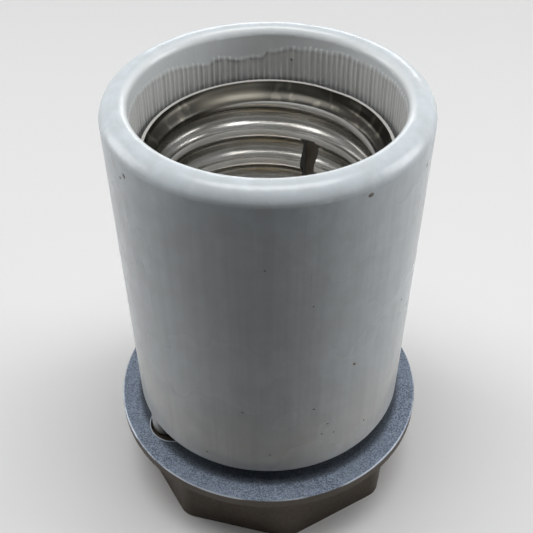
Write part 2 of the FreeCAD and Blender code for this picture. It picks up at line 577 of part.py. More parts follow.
def base_washer(azimuth):
    low = DECK_UNDERSIDE - BASE_WASHER_THICKNESS
    centre = polar(BASE_SCREW_PLACE, azimuth)
    ring = cylinder(BASE_WASHER_RADIUS, low, DECK_UNDERSIDE, centre)
    return ring.cut(cylinder(BASE_SCREW_RADIUS + HOLE_CLEARANCE, low - PAST, DECK_UNDERSIDE + PAST, centre))


# ---- build ---------------------------------------------------------------------------------
os.makedirs("parts", exist_ok=True)

save(base_casting(), "base_casting")
save(conduit_grub_screw(), "conduit_grub_screw")
save(porcelain_body(), "porcelain_body")
save(screw_shell(), "screw_shell")
save(side_contact_strip(), "side_contact_strip")
save(live_contact_strap(), "live_contact_strap")
save(centre_contact(), "centre_contact")
save(centre_contact_spring(), "centre_contact_spring")

save(turned(terminal_block(SHELL_SCREW_PLACE, SHELL_SCREW_RADIUS, 1), STRIP_AZIMUTH), "shell_terminal")
save(turned(terminal_block(LIVE_SCREW_PLACE, LIVE_SCREW_RADIUS, -1), LIVE_AZIMUTH), "live_terminal")
save(terminal_screw(SHELL_SCREW_PLACE - SCREW_SPREAD, STRIP_AZIMUTH), "shell_terminal_screw")
save(terminal_screw(LIVE_SCREW_PLACE + SCREW_SPREAD, LIVE_AZIMUTH), "live_terminal_screw")
save(turned(shell_nut_plate(), STRIP_AZIMUTH + 180), "shell_nut_plate")
save(shell_screw(STRIP_AZIMUTH, TERMINAL_LOW + FIXING_SCREW_SHORT), "shell_screw_strip_side")
save(shell_screw(STRIP_AZIMUTH + 180, NUT_PLATE_LOW), "shell_screw_far_side")
save(live_fixing_screw(), "live_fixing_screw")

for side, azimuth in zip(("right", "left"), BASE_SCREW_AZIMUTHS):
    save(base_screw(azimuth), "base_screw_" + side)
    save(base_washer(azimuth), "base_washer_" + side)
    save(base_nut(azimuth), "base_nut_" + side)
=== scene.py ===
import math
import random

import bmesh
import bpy
from mathutils import Matrix, Vector


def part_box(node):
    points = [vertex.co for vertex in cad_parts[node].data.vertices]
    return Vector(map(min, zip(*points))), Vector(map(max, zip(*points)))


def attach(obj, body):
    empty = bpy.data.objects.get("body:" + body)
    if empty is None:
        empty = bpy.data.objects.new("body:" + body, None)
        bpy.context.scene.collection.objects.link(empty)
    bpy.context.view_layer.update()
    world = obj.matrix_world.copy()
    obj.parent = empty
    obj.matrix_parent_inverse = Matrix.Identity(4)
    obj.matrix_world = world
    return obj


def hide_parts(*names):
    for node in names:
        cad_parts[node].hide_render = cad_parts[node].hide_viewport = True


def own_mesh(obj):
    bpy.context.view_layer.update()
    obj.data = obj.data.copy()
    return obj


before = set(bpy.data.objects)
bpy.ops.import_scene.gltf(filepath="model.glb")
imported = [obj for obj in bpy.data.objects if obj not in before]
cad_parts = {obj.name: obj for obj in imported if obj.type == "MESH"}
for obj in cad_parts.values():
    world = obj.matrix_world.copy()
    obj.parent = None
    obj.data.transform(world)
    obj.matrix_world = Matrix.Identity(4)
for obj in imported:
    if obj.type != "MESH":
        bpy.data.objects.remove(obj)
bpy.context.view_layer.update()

MM = 0.001

# ---- sizes of the object, in millimetres and degrees, as in the CAD model -------------------
HUB_HEIGHT = 14.2            # from the standing face to the underside of the flange
FLANGE_TOP = 16.2
FLANGE_RADIUS = 29.5         # rounded; the CAD model works it out from the hub
POCKET_RADIUS = 4.7
POCKET_PLACE_RADIUS = 21.5   # from the axis to a pocket's centre
POCKET_AZIMUTH = -148.1
CONDUIT_BORE_RADIUS = 12.06
CONDUIT_THREAD_LENGTH = 13.0

SKIRT_EDGE = 18.8            # height of the skirt's lower edge
SKIRT_RADIUS = 25.5
RIM_RADIUS = 26.5
RIM_HEIGHT = 82.3
RIM_OUTER_ROUND = 2.7
RIM_INNER_ROUND = 1.5
MOUTH_RADIUS = 22.0
SOCKET_FLOOR_RADIUS = 21.6
BRIDGE_TOP = 33.5            # the porcelain floor under the shell

SHEET = 0.5                  # the shell's thickness
SHELL_FLOOR_TOP = BRIDGE_TOP + SHEET
SHELL_FLOOR_HOLE = 11.2
THREAD_PITCH = 6.35
THREAD_ARC_RADIUS = 1.85
THREAD_MAJOR_RADIUS = 19.9
THREAD_DEPTH = 1.8
THREAD_CREST_HEIGHT = 63.4   # of one crest at azimuth 90
THREAD_START = 5.0           # from the shell's floor to the run-in
RUN_OUT_TOP = 0.7            # from the lip down to the end of the run-out
RUN_OUT_LENGTH = 2.6
LIP_RADIUS = 20.4
LIP_HEIGHT = 72.8
LIP_FLARE_HEIGHT = 1.6
SLOT_WIDTH = 3.1
SLOT_TOP = 62.6
SLOT_BOTTOM = 41.0
STRIP_AZIMUTH = 66.0         # of the slot and of the contact strip behind it

SPRING_WIRE_RADIUS = 0.3
SPRING_MEAN_RADIUS = 3.3
SPRING_TURNS = 5.0

# ---- details that the CAD model leaves out, in millimetres and degrees ----------------------
CONDUIT_THREAD_PITCH = 1.814
CONDUIT_THREAD_ENDS = (0.6, 1.5)  # plain bore below the thread and above it
CONDUIT_THREAD_SOFT = 0.5         # over which the thread fades in

SHELL_COLUMNS = 240
SHELL_ROW_STEP = 0.25
DENT_AZIMUTH = 55            # of the flat where a tool has pushed the lip in
DENT_SPREAD = 13
DENT_DEPTH = 0.22

RIB_COUNT = 132
RIB_COLUMNS = 8              # of points to a rib
RIB_ROWS = 16
RIB_SHARE = 0.5              # of the ribs' pitch that one rib takes up
RIB_HEIGHT = 0.2
RIB_SKIN = 0.04              # how far the ribbed band stands off the porcelain's wall
RIB_BACK = 0.15              # how far the band's back lies inside the porcelain
RIB_BOTTOM = 66.0
RIB_TOPS = ((-180, 79.4), (-90, 79.6), (16, 80.4), (50, 80.0), (77, 79.4), (89, 78.7), (93, 77.5), (105, 77.5),
            (115, 78.3), (118, 77.6), (126, 78.2), (142, 79.2), (180, 79.4))     # azimuth and height
SMUDGE_AZIMUTH = 96          # where the line along the ribs' top is dirtiest
SMUDGE_SPREAD = 34

# azimuth, height and radius
SEEN_SPECKS = ((-142.7, 77.8, 0.30), (-57.1, 78.8, 0.36), (-91.2, 68.3, 0.15), (-75.0, 60.2, 0.13),
               (-56.7, 43.6, 0.26), (-72.7, 35.6, 0.20), (-47.8, 25.8, 0.16), (-66.6, 30.5, 0.15),
               (-68.9, 28.1, 0.15), (-63.5, 27.4, 0.14), (-100.0, 35.7, 0.18), (-115.9, 22.0, 0.16),
               (-89.7, 24.2, 0.15))
WALL_SPECK = (78.7, 76.4, 0.26)
OTHER_SPECKS = 13
SPECK_GROWTH = 1.25          # all specks on the outside are this many times as large
SPECK_HEIGHT = 0.03
WALL_SPECK_HEIGHT = 0.12
RIM_SPECK = (23.75, 156, 0.2)     # place radius, azimuth and radius

# azimuth, height, turn from level and length
SHELL_SCRATCHES = ((139, 68.9, 20, 1.7), (139.2, 68.9, 75, 1.9), (138.8, 68.8, 125, 1.4),
                   (131, 70.2, 40, 1.6), (129.5, 70.0, 60, 1.0), (127, 69.6, 50, 1.2),
                   (20, 70.3, 30, 1.3), (-60, 69.8, 65, 1.5), (-118, 70.6, 15, 1.2))
# x and y of both ends
FLANGE_SCRATCHES = (((26.9, -1.6), (28.9, 0.6)), ((26.2, -1.9), (27.4, -1.3)),
                    ((-28.3, -6.6), (-26.2, -6.2)), ((-27.9, -5.7), (-26.9, -4.9)),
                    ((15.6, -22.9), (16.7, -22.6)), ((-9.5, -27.0), (-8.2, -27.6)),
                    ((9.0, 26.4), (10.8, 26.9)), ((-14.5, 24.0), (-13.1, 24.5)),
                    ((24.6, 12.2), (25.4, 13.6)))
SCRATCH_ROOT = 0.05          # how far a scratch's burr reaches into the surface
SCRATCH_WIDTH, SCRATCH_PROUD, SCRATCH_WAVER = 0.07, 0.02, 0.03      # on the shell
KNOCK_WIDTH, KNOCK_PROUD, KNOCK_WAVER = 0.22, 0.03, 0.12            # on the flange


def polar(radius, azimuth, z):
    """Point in metres for a radius and a height in millimetres and an azimuth in degrees."""
    a = math.radians(azimuth)
    return (radius * math.cos(a) * MM, radius * math.sin(a) * MM, z * MM)


def smooth_step(x):
    x = min(max(x, 0.0), 1.0)
    return x * x * (3 - 2 * x)


def add_mesh(name, points, faces):
    mesh = bpy.data.meshes.new(name)
    mesh.from_pydata(points, [], faces)
    mesh.update()
    piece = bpy.data.objects.new(name, mesh)
    bpy.context.scene.collection.objects.link(piece)
    for polygon in mesh.polygons:
        polygon.use_smooth = True
    return piece


def tidy_normals(piece):
    work = bmesh.new()
    work.from_mesh(piece.data)
    bmesh.ops.recalc_face_normals(work, faces=work.faces)
    work.to_mesh(piece.data)
    work.free()


def sharpen(piece, degrees):
    """Keeps edges crisp where two faces meet at more than this angle."""
    piece.data.set_sharp_from_angle(angle=math.radians(degrees))


# ---- screw shell ---------------------------------------------------------------------------
def thread_offset(z, azimuth, outside):
    """How far the rolled wall stands in from its outermost line at a height and an azimuth."""
    helix = THREAD_CREST_HEIGHT + THREAD_PITCH * (azimuth - 90.0) / 360.0
    along = (z - helix) / THREAD_PITCH
    from_crest = abs(along - round(along)) * THREAD_PITCH
    sheet = SHEET if outside else 0.0
    crest_arc = THREAD_ARC_RADIUS - sheet
    root_arc = THREAD_ARC_RADIUS + sheet
    flank = THREAD_PITCH / 4 * crest_arc / THREAD_ARC_RADIUS
    if from_crest <= flank:
        return THREAD_DEPTH - THREAD_ARC_RADIUS + math.sqrt(crest_arc ** 2 - from_crest ** 2) + sheet
    from_root = THREAD_PITCH / 2 - from_crest
    return root_arc - math.sqrt(root_arc ** 2 - from_root ** 2)


def shell_radius(z, azimuth, outside):
    """Radius of the shell's inner or outer skin, lip dent included."""
    wall = THREAD_MAJOR_RADIUS + (SHEET if outside else 0)
    run_out = smooth_step((LIP_HEIGHT - RUN_OUT_TOP - z) / RUN_OUT_LENGTH)
    run_in = smooth_step((z - SHELL_FLOOR_TOP - THREAD_START) / RUN_OUT_LENGTH)
    near_lip = smooth_step(1 - (LIP_HEIGHT - z) / LIP_FLARE_HEIGHT)
    flare = (LIP_RADIUS - THREAD_MAJOR_RADIUS) * near_lip
    return wall + flare - near_lip * lip_dent(azimuth) - thread_offset(z, azimuth, outside) * run_out * run_in


def lip_dent(azimuth):
    """Hand-made unevenness of the lip, and one flat where a tool has pushed it in."""
    a = math.radians(azimuth)
    flat = smooth_step(1 - abs((azimuth - DENT_AZIMUTH + 180) % 360 - 180) / DENT_SPREAD)
    return 0.05 + 0.03 * math.sin(3 * a + 0.6) + 0.02 * math.sin(7 * a) + DENT_DEPTH * flat


def shell_azimuths():
    """Columns round the shell, with one on each side of the slot."""
    half = math.degrees(SLOT_WIDTH / 2 / THREAD_MAJOR_RADIUS)
    start = STRIP_AZIMUTH + half
    step = (360 - 2 * half) / SHELL_COLUMNS
    return [start + step * i for i in range(SHELL_COLUMNS + 1)] + [STRIP_AZIMUTH]


def shell_heights(low):
    """Rows up the shell, with one at each end of the slot."""
    stops = [low, SLOT_BOTTOM, SLOT_TOP, LIP_HEIGHT]
    heights = [low]
    for a, b in zip(stops, stops[1:]):
        count = max(1, int(math.ceil((b - a) / SHELL_ROW_STEP)))
        heights += [a + (b - a) * (i + 1) / count for i in range(count)]
    return heights


def screw_shell():
    """The rolled shell as one closed sheet, with its thread, its lip, its floor and the slot."""
    azimuths = shell_azimuths()
    columns = len(azimuths)
    beside_slot = (columns - 2, columns - 1)       # the two columns of faces that the slot takes out
    inner_heights, outer_heights = shell_heights(SHELL_FLOOR_TOP), shell_heights(BRIDGE_TOP)
    points, faces = [], []
    for heights, outside in ((inner_heights, False), (outer_heights, True)):
        for z in heights:
            points += [polar(shell_radius(z, a, outside), a, z) for a in azimuths]
    inner, outer = 0, len(inner_heights) * columns

    def bridge(first, second):
        """One face from each column of one ring of points to the same column of another."""
        for column in range(columns):
            join(first, second, column)

    def join(first, second, column):
        after = (column + 1) % columns
        faces.append((first + column, first + after, second + after, second + column))

    def row_of(heights, z):
        return min(range(len(heights)), key=lambda i: abs(heights[i] - z))

    for start, heights, outside in ((inner, inner_heights, False), (outer, outer_heights, True)):
        for row in range(len(heights) - 1):
            middle = (heights[row] + heights[row + 1]) / 2
            for column in range(columns):
                if column in beside_slot and SLOT_BOTTOM < middle < SLOT_TOP:
                    continue
                a = start + row * columns + column
                b = start + row * columns + (column + 1) % columns
                faces.append((a, b, b + columns, a + columns) if outside else (b, a, a + columns, b + columns))
    bridge(inner + (len(inner_heights) - 1) * columns, outer + (len(outer_heights) - 1) * columns)

    low_in, high_in = row_of(inner_heights, SLOT_BOTTOM), row_of(inner_heights, SLOT_TOP)
    low_out, high_out = row_of(outer_heights, SLOT_BOTTOM), row_of(outer_heights, SLOT_TOP)
    for side in (columns - 2, 0):
        for i in range(high_in - low_in):
            a = inner + (low_in + i) * columns + side
            b = outer + (low_out + i) * columns + side
            faces.append((a, a + columns, b + columns, b))
    for row_in, row_out in ((low_in, low_out), (high_in, high_out)):
        for column in beside_slot:
            join(inner + row_in * columns, outer + row_out * columns, column)

    hole_rings = []
    for start, z in ((inner, SHELL_FLOOR_TOP), (outer, BRIDGE_TOP)):
        hole_rings.append(len(points))
        points += [polar(SHELL_FLOOR_HOLE, a, z) for a in azimuths]
        bridge(start, hole_rings[-1])
    bridge(*hole_rings)
    shell = add_mesh("screw_shell_rolled", points, faces)
    tidy_normals(shell)
    sharpen(shell, 40)
    return shell


# ---- ribs on the porcelain's inner wall ----------------------------------------------------
def wall_radius(z):
    """Radius of the porcelain's inner wall, which widens a little towards the mouth."""
    share = (z - BRIDGE_TOP) / (RIM_HEIGHT - RIM_INNER_ROUND - BRIDGE_TOP)
    return SOCKET_FLOOR_RADIUS + (MOUTH_RADIUS - SOCKET_FLOOR_RADIUS) * share


def between(value, stops):
    """Smooth interpolation between pairs of place and level."""
    for (low, first), (high, second) in zip(stops, stops[1:]):
        if value <= high:
            return first + (second - first) * smooth_step((value - low) / (high - low))
    return stops[-1][1]


def smudge(azimuth):
    """How strongly the dirty line along the ribs' top shows at an azimuth."""
    return 0.25 + 0.75 * smooth_step(1 - abs(azimuth - SMUDGE_AZIMUTH) / SMUDGE_SPREAD)


def inner_ribs():
    """A thin band of fine upright ribs on the wall, which fades out at its ragged top.

    Its attribute grime_and_shade says how dark each point is painted: dirt along the ragged top, and painted shade
    between the ribs and deeper into the socket. Its attribute cover says how far the point is from the clean glaze
    above.
    """
    draw = random.Random(40)
    columns = RIB_COUNT * RIB_COLUMNS
    tall = [draw.uniform(0.55, 1.15) for _ in range(RIB_COUNT)]
    shift = [draw.uniform(-0.08, 0.08) for _ in range(RIB_COUNT)]
    ragged = [draw.uniform(-0.22, 0.22) for _ in range(RIB_COUNT)]
    dirt_and_shade = [draw.uniform(0.5, 1.0) for _ in range(RIB_COUNT)]
    points, grime_and_shade, cover = [], [], []
    for row in range(RIB_ROWS + 1):
        share = 1 - (1 - row / RIB_ROWS) ** 1.7      # rows lie closer together towards the top
        for column in range(columns):
            rib, across = column // RIB_COLUMNS, (column % RIB_COLUMNS) / RIB_COLUMNS
            azimuth = 360.0 * column / columns - 180.0
            after = (rib + 1) % RIB_COUNT
            top = between(azimuth, RIB_TOPS) + ragged[rib] + (ragged[after] - ragged[rib]) * across
            z = RIB_BOTTOM + (top - RIB_BOTTOM) * share
            ridge = max(0.0, 1 - ((across - 0.5 + shift[rib]) / (RIB_SHARE / 2)) ** 2)
            ridge *= smooth_step((top - z) / 1.4) * smooth_step((z - RIB_BOTTOM) / 0.9)
            skin = RIB_SKIN * (smooth_step((top - z) / 0.9) * 1.6 - 0.6 if row else -1)
            points.append(polar(wall_radius(z) - skin - RIB_HEIGHT * tall[rib] * ridge, azimuth, z))
            # dirt along the top; painted shade between the ribs and deeper into the socket
            line = math.exp(-(((top - 1.1 - z) / 0.42) ** 2)) * dirt_and_shade[rib] * smudge(azimuth)
            deep_shade = smooth_step((76.5 - z) / 4)
            grime_and_shade.append(min(1.0, 0.75 * line + (0.25 + 0.35 * deep_shade) * (1 - ridge) * dirt_and_shade[rib]))
            cover.append(smooth_step((top - 0.25 - z) / 1.1))
    for at_top in (True, False):                     # the band's back, inside the porcelain
        for column in range(columns):
            azimuth = 360.0 * column / columns - 180.0
            z = between(azimuth, RIB_TOPS) - 1 if at_top else RIB_BOTTOM
            points.append(polar(wall_radius(z) + RIB_BACK, azimuth, z))
            grime_and_shade.append(0.0)
            cover.append(1.0)
    faces = []
    rings = RIB_ROWS + 3
    for ring in range(rings):
        for column in range(columns):
            after = (column + 1) % columns
            first, second = ring * columns, (ring + 1) % rings * columns
            faces.append((first + column, first + after, second + after, second + column))
    ribs = add_mesh("porcelain_inner_ribs", points, faces)
    tidy_normals(ribs)
    sharpen(ribs, 75)
    for name, values in (("grime_and_shade", grime_and_shade), ("cover", cover)):
        ribs.data.attributes.new(name, "FLOAT", "POINT").data.foreach_set("value", values)
    return ribs


# ---- contact spring ------------------------------------------------------------------------
def contact_spring(low, high):
    """Open coil of round wire between two heights in metres, with rounded ends."""
    per_turn, around = 40, 10
    steps = int(SPRING_TURNS * per_turn)
    rise = high - low - 2 * SPRING_WIRE_RADIUS * MM
    points = []
    for i in range(steps + 1):
        turn = 2 * math.pi * i / per_turn
        out = Vector((math.cos(turn), math.sin(turn), 0))
        centre = out * SPRING_MEAN_RADIUS * MM + Vector((0, 0, low + SPRING_WIRE_RADIUS * MM + rise * i / steps))
        for k in range(around):
            a = 2 * math.pi * k / around
            points.append(centre + (out * math.cos(a) + Vector((0, 0, math.sin(a)))) * SPRING_WIRE_RADIUS * MM)
    faces = []
    for i in range(steps):
        for k in range(around):
            a, b = i * around + k, i * around + (k + 1) % around
            faces.append((a, b, b + around, a + around))
    for ring, way in ((0, -1), (steps, 1)):
        turn = 2 * math.pi * ring / per_turn
        along = Vector((-math.sin(turn), math.cos(turn), 0)) * way
        middle = sum((points[ring * around + k] for k in range(around)), Vector()) / around
        points.append(middle + along * SPRING_WIRE_RADIUS * MM * 0.5)
        faces += [(ring * around + k, ring * around + (k + 1) % around, len(points) - 1) for k in range(around)]
    spring = add_mesh("contact_spring_coil", points, faces)
    tidy_normals(spring)
    return spring


# ---- specks and scratches ------------------------------------------------------------------
def body_radius(z):
    """Radius of the porcelain's outside between the skirt and the rim's round."""
    return SKIRT_RADIUS + (RIM_RADIUS - SKIRT_RADIUS) * (z - SKIRT_EDGE) / (RIM_HEIGHT - RIM_OUTER_ROUND - SKIRT_EDGE)


def dome(points, faces, place, normal, radius, height):
    """Adds a low closed dome, sunk a little into the surface that it sits on."""
    normal = Vector(normal).normalized()
    side = normal.orthogonal().normalized()
    up = normal.cross(side)
    start, around = len(points), 12
    rings = ((1.0, -0.06 * MM), (0.92, height * 0.45), (0.55, height * 0.85))
    for share, lift in rings:
        for k in range(around):
            a = 2 * math.pi * k / around
            reach = radius * share * (1 + 0.18 * math.sin(2 * a + radius * 9e4))
            points.append(Vector(place) + (side * math.cos(a) + up * math.sin(a)) * reach + normal * lift)
    for ring in range(len(rings) - 1):
        for k in range(around):
            a, b = start + ring * around + k, start + ring * around + (k + 1) % around
            faces.append((a, b, b + around, a + around))
    points.append(Vector(place) + normal * height)
    last = start + (len(rings) - 1) * around
    faces += [(last + k, last + (k + 1) % around, len(points) - 1) for k in range(around)]
    faces.append(tuple(start + k for k in range(around)))


def glaze_specks():
    """Dark pin marks in the glaze."""
    draw = random.Random(11)
    marks = list(SEEN_SPECKS)
    marks += [(draw.uniform(-35, 215), draw.uniform(21, 77), draw.uniform(0.12, 0.24)) for _ in range(OTHER_SPECKS)]
    points, faces = [], []
    for azimuth, z, size in marks:
        dome(points, faces, polar(body_radius(z), azimuth, z), polar(1, azimuth, 0),
             size * SPECK_GROWTH * MM, SPECK_HEIGHT * MM)
    azimuth, z, size = WALL_SPECK
    dome(points, faces, polar(wall_radius(z) - RIB_SKIN, azimuth, z), polar(-1, azimuth, 0),
         size * MM, WALL_SPECK_HEIGHT * MM)
    radius, azimuth, size = RIM_SPECK
    dome(points, faces, polar(radius, azimuth, RIM_HEIGHT - SPECK_HEIGHT), (0, 0, 1),
         size * MM, SPECK_HEIGHT * MM)
    specks = add_mesh("glaze_specks", points, faces)
    tidy_normals(specks)
    return specks


def burrs(name, paths, width, proud):
    """Thin three-sided ridges along paths; a path is a list of points and the surface's normal there."""
    points, faces = [], []
    for path in paths:
        start = len(points)
        for i, (place, normal) in enumerate(path):
            before, after = path[max(i - 1, 0)][0], path[min(i + 1, len(path) - 1)][0]
            across = (Vector(after) - Vector(before)).cross(Vector(normal)).normalized()
            half = width * (0.25 if i in (0, len(path) - 1) else 0.5)
            root = Vector(normal) * SCRATCH_ROOT * MM
            points += [Vector(place) - across * half - root, Vector(place) + Vector(normal) * proud,
                       Vector(place) + across * half - root]
        for i in range(len(path) - 1):
            for k in range(3):
                a, b = start + 3 * i + k, start + 3 * i + (k + 1) % 3
                faces.append((a, b, b + 3, a + 3))
        faces += [(start, start + 1, start + 2), (len(points) - 3, len(points) - 2, len(points) - 1)]
    piece = add_mesh(name, points, faces)
    tidy_normals(piece)
    return piece


def shell_scratches():
    """Bright hair lines on the shell's collar."""
    draw = random.Random(7)
    count = 7
    paths = []
    for azimuth, z, turn, length in SHELL_SCRATCHES:
        path = []
        for i in range(count):
            step = (i / (count - 1) - 0.5) * length
            a = azimuth + math.degrees(step * math.cos(math.radians(turn)) / THREAD_MAJOR_RADIUS)
            height = z + step * math.sin(math.radians(turn)) + draw.uniform(-SCRATCH_WAVER, SCRATCH_WAVER)
            path.append((polar(shell_radius(height, a, False), a, height),
                         Vector(polar(-1, a, 0)).normalized()))
        paths.append(path)
    return burrs("shell_scratches", paths, SCRATCH_WIDTH * MM, SCRATCH_PROUD * MM)


def flange_scratches():
    """Knocks and hair lines on the machined face."""
    draw = random.Random(23)
    count = 5
    paths = []
    for (x0, y0), (x1, y1) in FLANGE_SCRATCHES:
        path = []
        for i in range(count):
            t = i / (count - 1)
            x = x0 + (x1 - x0) * t + draw.uniform(-KNOCK_WAVER, KNOCK_WAVER)
            y = y0 + (y1 - y0) * t + draw.uniform(-KNOCK_WAVER, KNOCK_WAVER)
            path.append(((x * MM, y * MM, FLANGE_TOP * MM), (0, 0, 1)))
        paths.append(path)
    return burrs("flange_scratches", paths, KNOCK_WIDTH * MM, KNOCK_PROUD * MM)


# ---- material helpers ----------------------------------------------------------------------
class Shade:
    """A new node material, with short calls for the nodes that the finishes share."""

    def __init__(self, name, color, roughness, metallic=0.0):
        self.material = bpy.data.materials.new(name)
        self.material.use_nodes = True
        self.nodes = self.material.node_tree.nodes
        self.links = self.material.node_tree.links
        self.shader = self.nodes["Principled BSDF"]
        self.shader.inputs["Base Color"].default_value = (*color, 1)
        self.shader.inputs["Roughness"].default_value = roughness
        self.shader.inputs["Metallic"].default_value = metallic
        self.position = self.nodes.new("ShaderNodeTexCoord").outputs["Object"]

    def feed(self, socket, value):
        """Links a socket, or sets the number or colour that is given in its place."""
        if isinstance(value, (int, float)):
            socket.default_value = value
        elif isinstance(value, tuple):
            socket.default_value = (*value, 1)
        else:
            self.links.new(value, socket)

    def math(self, operation, first, second=0.0):
        node = self.nodes.new("ShaderNodeMath")
        node.operation = operation
        self.feed(node.inputs[0], first)
        self.feed(node.inputs[1], second)
        return node.outputs[0]

    def attribute(self, name):
        node = self.nodes.new("ShaderNodeAttribute")
        node.attribute_name = name
        return node.outputs["Fac"]

    def length(self, *parts):
        """Root of the sum of squares."""
        total = 0.0
        for part in parts:
            total = self.math("ADD", self.math("MULTIPLY", part, part), total)
        return self.math("SQRT", total)

    def step(self, value, start, end):
        """0 at start and below, 1 at end and above, or the other way round where end is the lower."""
        node = self.nodes.new("ShaderNodeMapRange")
        node.interpolation_type = "SMOOTHSTEP"
        low, high = sorted((start, end))
        node.inputs["From Min"].default_value, node.inputs["From Max"].default_value = low, high
        if start > end:
            node.inputs["To Min"].default_value, node.inputs["To Max"].default_value = 1.0, 0.0
        self.links.new(value, node.inputs["Value"])
        return node.outputs["Result"]

    def fade(self, value, start, end):
        """step() with its two places in millimetres."""
        return self.step(value, start * MM, end * MM)

    def band(self, value, low, high, soft):
        """1 between low and high, fading to 0 over soft outside them."""
        return self.math("MULTIPLY", self.step(value, low - soft, low), self.step(value, high + soft, high))

    def split(self):
        node = self.nodes.new("ShaderNodeSeparateXYZ")
        self.links.new(self.position, node.inputs[0])
        return node.outputs

    def stretched(self, x, y, z):
        """Object coordinates multiplied along each axis, so that a texture runs long the small way."""
        node = self.nodes.new("ShaderNodeVectorMath")
        node.operation = "MULTIPLY"
        self.links.new(self.position, node.inputs[0])
        node.inputs[1].default_value = (x, y, z)
        return node.outputs[0]

    def noise(self, scale, detail=3.0, roughness=0.5, vector=None):
        node = self.nodes.new("ShaderNodeTexNoise")
        node.inputs["Scale"].default_value = scale
        node.inputs["Detail"].default_value = detail
        node.inputs["Roughness"].default_value = roughness
        self.links.new(vector or self.position, node.inputs["Vector"])
        return node.outputs["Fac"]

    def ramp(self, value, *stops):
        """A grey level that follows pairs of place and level."""
        node = self.nodes.new("ShaderNodeValToRGB")
        elements = node.color_ramp.elements
        while len(elements) < len(stops):
            elements.new(0.5)
        for element, (place, level) in zip(elements, sorted(stops)):
            element.position = place
            element.color = (level, level, level, 1)
        self.links.new(value, node.inputs["Fac"])
        return node.outputs["Color"]

    def mix(self, factor, first, second):
        node = self.nodes.new("ShaderNodeMix")
        node.data_type = "RGBA"
        self.feed([s for s in node.inputs if s.name == "Factor" and s.type == "VALUE"][0], factor)
        self.feed([s for s in node.inputs if s.name == "A" and s.type == "RGBA"][0], first)
        self.feed([s for s in node.inputs if s.name == "B" and s.type == "RGBA"][0], second)
        return [s for s in node.outputs if s.type == "RGBA"][0]

    def color(self, value):
        self.links.new(value, self.shader.inputs["Base Color"])

    def roughness(self, value, low, high):
        node = self.nodes.new("ShaderNodeMapRange")
        node.inputs["To Min"].default_value = low
        node.inputs["To Max"].default_value = high
        self.links.new(value, node.inputs["Value"])
        self.links.new(node.outputs["Result"], self.shader.inputs["Roughness"])

    def bump(self, height, depth, strength=1.0):
        """Adds relief of that depth in metres on top of what the material has."""
        node = self.nodes.new("ShaderNodeBump")
        node.inputs["Strength"].default_value = strength
        node.inputs["Distance"].default_value = depth
        self.links.new(height, node.inputs["Height"])
        normal = self.shader.inputs["Normal"]
        if normal.is_linked:
            self.links.new(normal.links[0].from_socket, node.inputs["Normal"])
        self.links.new(node.outputs["Normal"], normal)


# ---- finishes: pairs are where something starts and ends, in millimetres -------------------
# painted light: a whiter glaze in the throat below the rim, standing in for the light on the rim's inner round
THROAT_PAINTED_LIGHT = (0.82, 0.855, 0.87)
GLAZE_WARMS = (42, 22)           # heights, downwards
GLAZE_COOLS = (72, 79)           # heights, upwards
THROAT_RADII = (23.4, 22.3)
THROAT_HEIGHTS = (74, 76)
# the collar, which carries a painted dark reflection
COLLAR_HEIGHTS = (67.5, 69.5)
# crest lines, worn and painted with a highlight
CREST_RADII = (THREAD_MAJOR_RADIUS - 1.62, THREAD_MAJOR_RADIUS - 1.74)
# roots of the thread, darkened as painted shade
ROOT_SHADE_RADII = (THREAD_MAJOR_RADIUS - 1.3, THREAD_MAJOR_RADIUS - 0.3)
ABOVE_FLOOR = (SHELL_FLOOR_TOP + 2.0, SHELL_FLOOR_TOP + 3.0)
DULL_FLOOR = (SHELL_FLOOR_TOP + 0.7, SHELL_FLOOR_TOP + 0.1)
# painted highlight: a bright line along the lip's edge
LIP_HIGHLIGHT_HEIGHTS = (LIP_HEIGHT - 0.12, LIP_HEIGHT - 0.04)
# painted reflection: a warm light smear on the collar between these azimuths
REFLECTION_SMEAR_AZIMUTHS = (100, 122, 14)  # degrees: from, to, and how softly it ends
# painted shadow on the face under the skirt's edge
SKIRT_SHADOW_RADII = (SKIRT_RADIUS + 1.2, SKIRT_RADIUS)
# outer edge of the face: wear and a painted highlight
WORN_AND_HIGHLIT_RADII = (FLANGE_RADIUS - 0.30, FLANGE_RADIUS - 0.12)
WORN_AND_HIGHLIT_HEIGHTS = (FLANGE_TOP - 0.36, FLANGE_TOP - 0.2)
# edge round the pockets, painted with a highlight
POCKET_RIM_WIDTH = 0.15
POCKET_RIM_SOFT = 0.12
POCKET_RIM_HEIGHTS = (FLANGE_TOP - 0.3, FLANGE_TOP)
# heights where the darker sides and hub begin: as-cast skin and painted shade
SIDE_HEIGHTS = (HUB_HEIGHT - 0.4, HUB_HEIGHT + 0.2)
FACE_HEIGHTS = (FLANGE_TOP - 0.24, FLANGE_TOP - 0.12)
BORE_RADII = (CONDUIT_BORE_RADIUS + 0.6, CONDUIT_BORE_RADIUS + 0.2)


